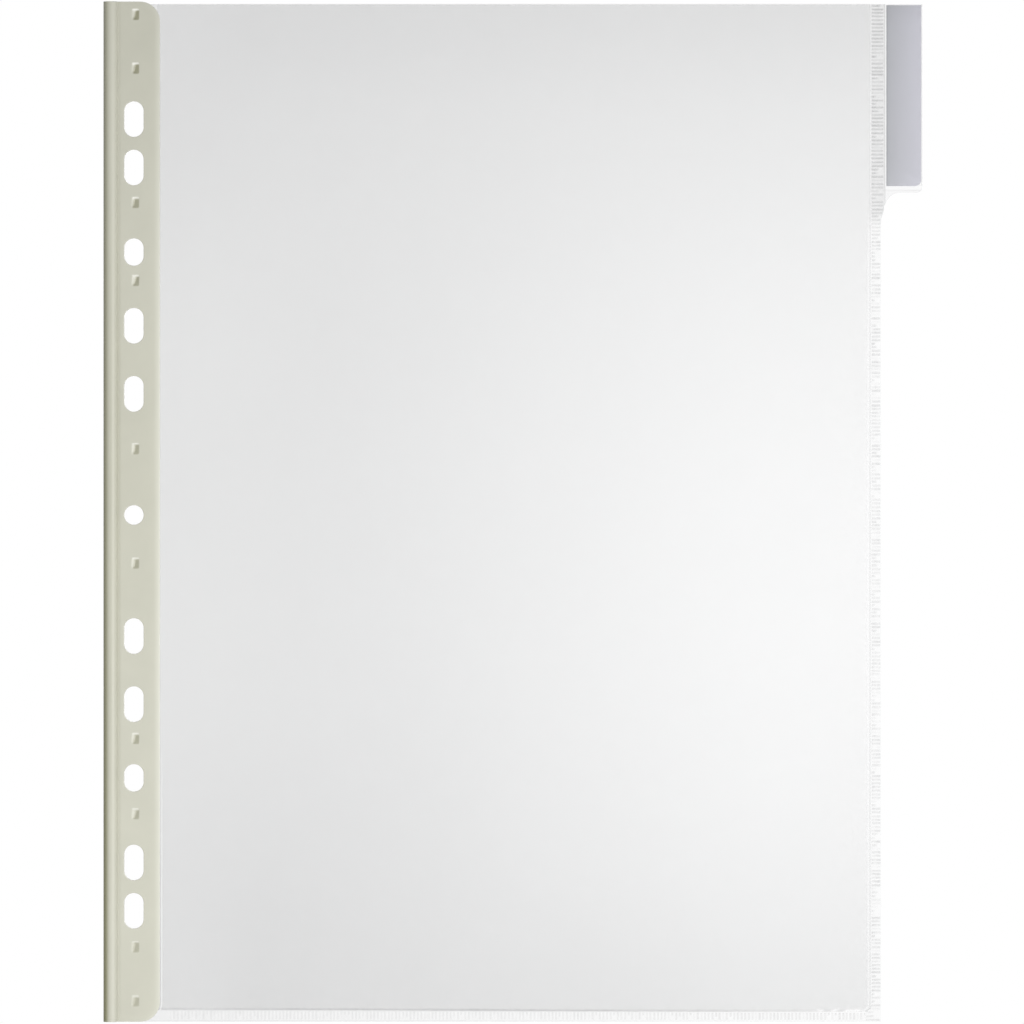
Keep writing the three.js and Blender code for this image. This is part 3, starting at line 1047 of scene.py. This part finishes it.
def tab_mesh():
    """Film folded at its outer edge round a slot that is open at the top"""
    tab = settings("tab")
    proud = CARD_HIGH.y + CARD_PLAY + tab.wall
    slot_left = CARD_LOW.x - CARD_SIDE_PLAY
    pouch_left = slot_left - POUCH_RIM
    pouch_bottom = TAB_HIGH.z - TAB_HEIGHT + 0.1 * MM + POUCH_RIM
    slope = 0.2 * MM
    bm = bmesh.new()
    verts = [bm.verts.new((x, -tab.wall, z)) for x, z in tab_outline()]
    bm.faces.new(verts)
    for x in (pouch_left, pouch_left + slope, slot_left - tab.wall):
        cut_line(bm, (x, 0, 0), (1, 0, 0))
    for z in (pouch_bottom, pouch_bottom + slope, CARD_LOW.z):
        cut_line(bm, (0, 0, z), (0, 0, 1))
    slab(bm, 2 * tab.wall)
    for vert in bm.verts:
        inside_x = vert.co.x > pouch_left + slope - TINY
        inside_z = vert.co.z > pouch_bottom + slope - TINY
        if inside_x and inside_z:
            vert.co.y = math.copysign(proud, vert.co.y)
    bmesh.ops.recalc_face_normals(bm, faces=bm.faces)
    fold = []
    for edge in bm.edges:
        at_fold = all(vert.co.x > TAB_HIGH.x - TINY for vert in edge.verts)
        upright = abs(edge.verts[0].co.z - edge.verts[1].co.z) > TINY
        if at_fold and upright:
            fold.append(edge)
    round_edges(bm, fold, 0.2 * MM, 4)
    mouth = []
    for face in bm.faces:
        centre = face.calc_center_median()
        at_top = face.normal.z > 0.9 and centre.z > TAB_HIGH.z - TINY
        if at_top and centre.x > slot_left + TINY:
            mouth.append(face)
    bmesh.ops.inset_region(bm, faces=mouth, thickness=tab.wall, use_even_offset=True)
    for vert in only_verts(bmesh.ops.extrude_face_region(bm, geom=mouth)["geom"]):
        vert.co.z = CARD_LOW.z
    bmesh.ops.delete(bm, geom=mouth, context="FACES_ONLY")
    bmesh.ops.recalc_face_normals(bm, faces=bm.faces)
    near = pouch_left + slope + TINY
    low = pouch_bottom + slope + TINY
    start = seam_line()[0] + settings("seam").side_width + SIDE_STEP + TINY

    def cover(x, z):
        if x < start:
            return tab.alpha
        return tab.alpha * (2.9 if x < near else 2.0 if z < low else 1.0)

    set_cover(bm, cover)
    mark_sharp(bm, 30)
    return bm


def card_mesh():
    """The plain card, flat in its slot"""
    corner = settings("tab").card_corner
    points = [(CARD_LOW.x, CARD_LOW.z), *lower_corner(CARD_HIGH.x, CARD_LOW.z, corner)]
    points += [(CARD_HIGH.x, CARD_HIGH.z), (CARD_LOW.x, CARD_HIGH.z)]
    bm = bmesh.new()
    bm.faces.new([bm.verts.new((x, CARD_LOW.y, z)) for x, z in points])
    for z in spread(CARD_LOW.z + corner, CARD_HIGH.z, 6 * MM)[1:-1]:
        cut_line(bm, (0, 0, z), (0, 0, 1))
    slab(bm, CARD_HIGH.y - CARD_LOW.y)
    bmesh.ops.recalc_face_normals(bm, faces=bm.faces)
    rim = [edge for edge in bm.edges if edge.calc_face_angle(0) > CUT_ANGLE]
    round_edges(bm, rim, EDGE_ROUNDING, 2)
    mark_sharp(bm, 40)
    return bm


# Materials


def set_inputs(tree, node, values):
    """Sets a node's inputs, each given as a value or as the socket that feeds it"""
    for key, value in values.items():
        if isinstance(value, bpy.types.NodeSocket):
            tree.links.new(value, node.inputs[key])
        else:
            node.inputs[key].default_value = value


def add_node(tree, kind, values, **attributes):
    node = tree.nodes.new("ShaderNode" + kind)
    for name, value in attributes.items():
        setattr(node, name, value)
    set_inputs(tree, node, values)
    return node


def object_place(tree):
    return add_node(tree, "TexCoord", {}).outputs["Object"]


def vertex_value(tree, name):
    return add_node(tree, "Attribute", {}, attribute_name=name).outputs["Fac"]


def combine(tree, one, other, operation="ADD"):
    return add_node(tree, "Math", {0: one, 1: other}, operation=operation).outputs[0]


def noise_value(tree, place, scale, detail, roughness=0.5):
    values = {"Vector": place, "Scale": scale, "Detail": detail, "Roughness": roughness}
    return add_node(tree, "TexNoise", values).outputs["Fac"]


def map_range(tree, source, low, high, start=0.0, end=1.0):
    """A value that goes from low to high as the source goes from start to end"""
    ends = {"From Min": start, "From Max": end, "To Min": low, "To Max": high}
    return add_node(tree, "MapRange", {"Value": source, **ends}).outputs["Result"]


def mix_color(tree, factor, one, other, blend="MIX"):
    """Mixes two colours, each given as a colour or as a socket"""
    values = {0: factor}
    for key, value in ((6, one), (7, other)):
        values[key] = value if isinstance(value, bpy.types.NodeSocket) else (*value, 1)
    return add_node(tree, "Mix", values, data_type="RGBA", blend_type=blend).outputs[2]


def bump(tree, height, strength, distance):
    values = {"Height": height, "Strength": strength, "Distance": distance}
    return add_node(tree, "Bump", values).outputs["Normal"]


def darker(color, factor):
    return tuple(channel * factor for channel in color)


def grey(level):
    return (level, level, level)


def cloudy(tree, mottle, low=0.0, high=1.0):
    """The mottling, stretched to go from low to high"""
    return map_range(tree, mottle, low, high, 0.3, 0.7)


def shared_group(tree, name, inputs, outputs, wire):
    """Uses a group in a tree and returns its outputs. Wire makes them on first use"""
    group = bpy.data.node_groups.get(name)
    if group is None:
        group = bpy.data.node_groups.new(name, "ShaderNodeTree")
        for way, words in (("INPUT", inputs), ("OUTPUT", outputs)):
            for word in words:
                group.interface.new_socket(
                    name=word, in_out=way, socket_type="NodeSocketFloat"
                )
        given = group.nodes.new("NodeGroupInput").outputs
        results = dict(zip(outputs, wire(group, given)))
        set_inputs(group, group.nodes.new("NodeGroupOutput"), results)
    node = add_node(tree, "Group", inputs, node_tree=group)
    return [node.outputs[word] for word in outputs]


def wire_grain(tree, given):
    place = object_place(tree)
    fine = noise_value(tree, place, given["Grain size"], 3)
    return fine, noise_value(tree, place, given["Mottle size"], 4, 0.6)


def grain(tree, grain_size, mottle_size):
    """The height of a fine grain, and a soft mottling"""
    sizes = {"Grain size": grain_size, "Mottle size": mottle_size}
    return shared_group(tree, "Plastic grain", sizes, ("Height", "Mottle"), wire_grain)


def wire_scuffs(tree, given):
    lean = (0, math.radians(8), 0)
    values = {"Vector": object_place(tree), "Rotation": lean, "Scale": (9, 1, 1)}
    place = add_node(tree, "Mapping", values).outputs["Vector"]
    streaks = noise_value(tree, place, given["Scale"], 6, 0.75)
    lines = map_range(tree, streaks, 0, 1, 0.62, 0.74)
    return [combine(tree, lines, given["Amount"], "MULTIPLY")]


def scuffs(tree, scale, amount):
    """Sparse hairline scuffs, mostly along the panel's height"""
    values = {"Scale": scale, "Amount": amount}
    return shared_group(tree, "Handling scuffs", values, ["Scuff"], wire_scuffs)[0]


def new_material(name, look):
    """The material of this name. Look gives its shader's inputs on first use"""
    material = bpy.data.materials.get(name)
    if material is None:
        material = bpy.data.materials.new(name)
        material.use_nodes = True
        tree = material.node_tree
        set_inputs(tree, tree.nodes["Principled BSDF"], look(tree))
    return material


def strip_look(tree):
    """Satin grey-beige plastic. Painted light where it is pressed thin, painted highlights on the
    hole lips and weld marks, and painted shade along the fold and in the weld dishes
    """
    strip = settings("strip")
    height, mottle = grain(tree, 2600, 45)
    shades = darker(strip.color, 0.965), darker(strip.color, 1.03)
    tone = mix_color(tree, cloudy(tree, mottle), *shades)
    # Painted light and painted highlights, from the painted_light attribute
    tone = mix_color(tree, vertex_value(tree, "painted_light"), tone, strip.edge_glow_color)
    scuffed = map_range(tree, scuffs(tree, 70, 0.5), 0, 0.12)
    return {
        # Painted shade, from the painted_shade attribute
        "Base Color": mix_color(tree, vertex_value(tree, "painted_shade"), tone, strip.fold_shade_color),
        "Roughness": combine(tree, cloudy(tree, mottle, 0.42, 0.48), scuffed),
        "IOR": 1.49,
        "Specular IOR Level": 0.5,
        "Normal": bump(tree, height, 0.25, 0.02 * MM),
    }


def film_look(tree, color, roughness, level):
    """Clear film with a fine matt grain"""
    height, mottle = grain(tree, 2200, 14)
    tone = mix_color(tree, cloudy(tree, mottle), darker(color, 0.97), darker(color, 1.03))
    cover = vertex_value(tree, "cover")
    # Darker colour where the cover is raised: the painted shade and lines on the leaves, and the tab's thicker rim
    lines = map_range(tree, cover, 0, 1, 0.17, 0.3)
    rough_film = cloudy(tree, mottle, roughness - 0.015, roughness + 0.015)
    scuffed = map_range(tree, scuffs(tree, 40, 0.4), 0, 0.06)
    return {
        "Base Color": mix_color(tree, lines, tone, darker(color, 0.15)),
        "Roughness": combine(tree, rough_film, scuffed),
        "Alpha": cover,
        "IOR": 1.5,
        "Specular IOR Level": level,
        "Normal": bump(tree, height, 0.12, 0.01 * MM),
    }


def seam_look(tree):
    """Both films fused: clearer than the leaves, with painted shade in the grooves where the bar pressed"""
    color = settings("film").color
    height, mottle = grain(tree, 1500, 300)
    patch = cloudy(tree, mottle, -0.02, 0.03)
    return {
        "Base Color": mix_color(tree, mottle, darker(color, 0.85), color),
        "Roughness": cloudy(tree, mottle, 0.36, 0.46),
        "Alpha": combine(tree, vertex_value(tree, "cover"), patch),
        "IOR": 1.5,
        "Specular IOR Level": 0.6,
        "Normal": bump(tree, height, 0.2, 0.02 * MM),
    }


def card_look(tree):
    """Uncoated lilac-grey card with faint fibres, with painted shade beside the seam, a painted
    shadow along its inner edge and painted shade low down
    """
    tab = settings("tab")
    clouds = cloudy(tree, grain(tree, 4200, 120)[1])
    place = object_place(tree)
    along = add_node(tree, "SeparateXYZ", {"Vector": place}).outputs
    values = {"Vector": place, "Scale": (1, 1, 0.18)}
    stretched = add_node(tree, "Mapping", values).outputs["Vector"]
    fibres = noise_value(tree, stretched, 5200, 5, 0.65)
    flecks = map_range(tree, fibres, 0, 1, 0.35, 0.7)
    # Painted light: the card grows paler towards its outer edge, away from the seam
    outward = map_range(tree, along["X"], 0, 1, CARD_LOW.x, CARD_HIGH.x)
    # Painted shadow of the seam along the card's inner edge
    rim = map_range(tree, along["X"], 0, 1, CARD_LOW.x, CARD_LOW.x + 0.6 * MM)
    # Painted shade over the lowest part of the card
    low = map_range(tree, along["Z"], 1, 0, CARD_LOW.z + 8 * MM, CARD_LOW.z + 35 * MM)
    shades = darker(tab.card_color, 0.97), darker(tab.card_color, 1.02)
    tone = mix_color(tree, clouds, *shades)
    tone = mix_color(tree, outward, tab.card_shade_color, tone)
    tone = mix_color(tree, rim, darker(tab.card_shade_color, 0.75), tone)
    tone = mix_color(tree, low, tone, grey(0.95), "MULTIPLY")
    speckled = mix_color(tree, flecks, grey(0.93), grey(1))
    return {
        "Base Color": mix_color(tree, clouds, tone, speckled, "MULTIPLY"),
        "Roughness": map_range(tree, fibres, 0.78, 0.9),
        "Specular IOR Level": 0.35,
        "Normal": bump(tree, fibres, 0.35, 0.02 * MM),
    }


def seen_rays(tree):
    """1 for what the camera sees, itself or in gloss or glass, and 0 for other light"""
    path = add_node(tree, "LightPath", {}).outputs
    seen = path["Is Camera Ray"]
    for name in ("Is Glossy Ray", "Is Transmission Ray"):
        seen = combine(tree, seen, path[name], "MAXIMUM")
    return seen


def floor_look(tree):
    """Plain pale floor that looks pale in dim light too, and keeps shadows"""
    mottle = grain(tree, 300, 4)[1]
    return {
        "Base Color": mix_color(tree, mottle, grey(0.87), grey(0.9)),
        "Roughness": 0.9,
        "Emission Strength": 1,
        "Emission Color": mix_color(tree, seen_rays(tree), grey(0), grey(0.56)),
    }


# Stage


def aim(thing, target):
    """Turns a camera or a light towards a point"""
    thing.rotation_euler = (Vector(target) - thing.location).to_track_quat("-Z", "Y").to_euler()


def add_light(name, place, target, width, height, power):
    data = bpy.data.lights.new(name, "AREA")
    data.shape = "RECTANGLE"
    data.size, data.size_y = width, height
    data.energy = power
    lamp = add_object(name, data)
    lamp.location = place
    aim(lamp, target)
    lamp.visible_camera = False


def make_world(ambient):
    """White for what the camera, gloss and glass see, and a plain level for the rest"""
    world = bpy.data.worlds.new("white studio")
    bpy.context.scene.world = world
    world.use_nodes = True
    tree, white = world.node_tree, (*grey(1), 1)
    seen = tree.nodes["Background"]
    set_inputs(tree, seen, {"Color": white, "Strength": 1})
    lit = add_node(tree, "Background", {"Color": white, "Strength": ambient})
    shaders = {1: lit.outputs["Background"], 2: seen.outputs["Background"]}
    mix = add_node(tree, "MixShader", {"Fac": seen_rays(tree), **shaders})
    set_inputs(tree, tree.nodes["World Output"], {"Surface": mix.outputs["Shader"]})


def make_camera(stage):
    """Straight on, from far away, as the photograph was taken"""
    data = bpy.data.cameras.new("camera")
    data.lens = stage.lens
    distance = stage.view_width * stage.lens / data.sensor_width
    camera = add_object("camera", data)
    centre = Vector(stage.view_centre)
    camera.location = centre + Vector((0, -distance, 0))
    aim(camera, centre)
    bpy.context.scene.camera = camera


def make_floor(stage):
    bm = bmesh.new()
    bmesh.ops.create_grid(bm, x_segments=8, y_segments=8, size=1.3)
    height = STRIP_LOW.z - stage.floor_drop
    middle = (STRIP_LOW.x + TAB_HIGH.x) / 2
    bmesh.ops.translate(bm, verts=bm.verts, vec=(middle, 0, height))
    add_mesh(bm, "floor", new_material("pale floor", floor_look))


# Operators


class DISPLAY_OT_stage(bpy.types.Operator):
    """Adds the camera, the soft lights, the white surroundings and the pale floor"""

    bl_idname = "display_panel.stage"
    bl_label = "Stage"

    def execute(self, context):
        stage = settings("stage")
        context.scene.view_settings.view_transform = "Standard"
        make_world(stage.ambient)
        make_camera(stage)
        make_floor(stage)
        centre = Vector(stage.view_centre)
        add_light("key", (0.245, -0.40, -0.028), (0.15, 0, -0.02), 0.2, 0.30, stage.key_power)
        add_light("low fill", (-0.1, -0.3, -0.36), (0, 0, -0.1), 0.3, 0.2, stage.fill_power)
        add_light("high fill", (-0.1, -0.3, 0.38), (0, 0, 0.1), 0.3, 0.2, stage.fill_power / 3)
        add_light("rear fill", (0.12, 0.6, 0.1), centre, 0.5, 0.5, stage.rear_power)
        return {"FINISHED"}


class DISPLAY_OT_strip(bpy.types.Operator):
    """Builds the folded binding strip with its bead and its punch"""

    bl_idname = "display_panel.strip"
    bl_label = "Binding strip"

    def execute(self, context):
        material = new_material("satin strip plastic", strip_look)
        add_piece(strip_mesh(), "strip", material, "binding_strip", "spine")
        return {"FINISHED"}


class DISPLAY_OT_welds(bpy.types.Operator):
    """Builds the fused spots that hold strip and films together"""

    bl_idname = "display_panel.welds"
    bl_label = "Spot welds"

    def execute(self, context):
        material = new_material("satin strip plastic", strip_look)
        chance = random.Random(11)
        for index, name in enumerate(WELD_NAMES):
            piece = name.replace("spot_weld", "weld_mark")
            # How strongly the highlight and the shade are painted on this mark, less on each later one
            strength = 1 - 0.06 * index + chance.uniform(-0.12, 0.12)
            mesh = weld_mesh(name, chance, strength)
            add_piece(mesh, piece, material, name, "spine")
        return {"FINISHED"}


class DISPLAY_OT_films(bpy.types.Operator):
    """Builds the two film leaves and their punched margins inside the strip"""

    bl_idname = "display_panel.films"
    bl_label = "Film leaves"

    def execute(self, context):
        color = settings("film").color
        material = new_material(
            "matt clear film", lambda tree: film_look(tree, color, 0.42, 1.0)
        )
        for word, side in (("front", -1), ("rear", 1)):
            film = f"{word}_film"
            margin = margin_mesh(side)
            add_piece(margin, f"{word}_margin", material, film + "_margin", "spine")
            add_piece(film_mesh(side), f"{word}_leaf", material, film)
        return {"FINISHED"}


class DISPLAY_OT_seams(bpy.types.Operator):
    """Builds the ribbed seams where the two leaves are fused"""

    bl_idname = "display_panel.seams"
    bl_label = "Weld seams"

    def execute(self, context):
        material = new_material("fused film seam", seam_look)
        add_piece(side_seam_mesh(), "side_seam", material, None, "pocket")
        add_piece(bottom_seam_mesh(), "bottom_seam", material, None)
        return {"FINISHED"}


class DISPLAY_OT_tab(bpy.types.Operator):
    """Builds the clear index tab and the label card in it"""

    bl_idname = "display_panel.tab"
    bl_label = "Index tab"

    def execute(self, context):
        color = settings("tab").color
        material = new_material(
            "smooth tab film", lambda tree: film_look(tree, color, 0.36, 0.6)
        )
        add_piece(tab_mesh(), "tab", material, "tab_sleeve", "pocket")
        material = new_material("lilac grey card", card_look)
        add_piece(card_mesh(), "card", material, "label_card", "label")
        return {"FINISHED"}


STEPS = (
    DISPLAY_OT_stage,
    DISPLAY_OT_strip,
    DISPLAY_OT_welds,
    DISPLAY_OT_films,
    DISPLAY_OT_seams,
    DISPLAY_OT_tab,
)


class DISPLAY_PT_panel(bpy.types.Panel):
    """Lists the build steps and their settings"""

    bl_label = "Display Panel"
    bl_idname = "DISPLAY_PT_panel"
    bl_space_type = "VIEW_3D"
    bl_region_type = "UI"
    bl_category = "Display Panel"

    def draw(self, context):
        for step in STEPS:
            self.layout.operator(step.bl_idname)
        for owner, group in SETTINGS.items():
            box = self.layout.box()
            for name in group.__annotations__:
                box.prop(getattr(context.scene, owner), name)


SETTINGS = {
    "display_strip": StripSettings,
    "display_film": FilmSettings,
    "display_seam": SeamSettings,
    "display_tab": TabSettings,
    "display_stage": StageSettings,
}


def register():
    for group in SETTINGS.values():
        bpy.utils.register_class(group)
    for owner, group in SETTINGS.items():
        setattr(bpy.types.Scene, owner, PointerProperty(type=group))
    for step in (*STEPS, DISPLAY_PT_panel):
        bpy.utils.register_class(step)


def unregister():
    for step in reversed((*STEPS, DISPLAY_PT_panel)):
        bpy.utils.unregister_class(step)
    for owner, group in SETTINGS.items():
        delattr(bpy.types.Scene, owner)
        bpy.utils.unregister_class(group)


def main():
    register()
    bpy.ops.display_panel.stage()
    bpy.ops.display_panel.strip()
    bpy.ops.display_panel.welds()
    bpy.ops.display_panel.films()
    bpy.ops.display_panel.seams()
    bpy.ops.display_panel.tab()


if __name__ == "__main__":
    main()
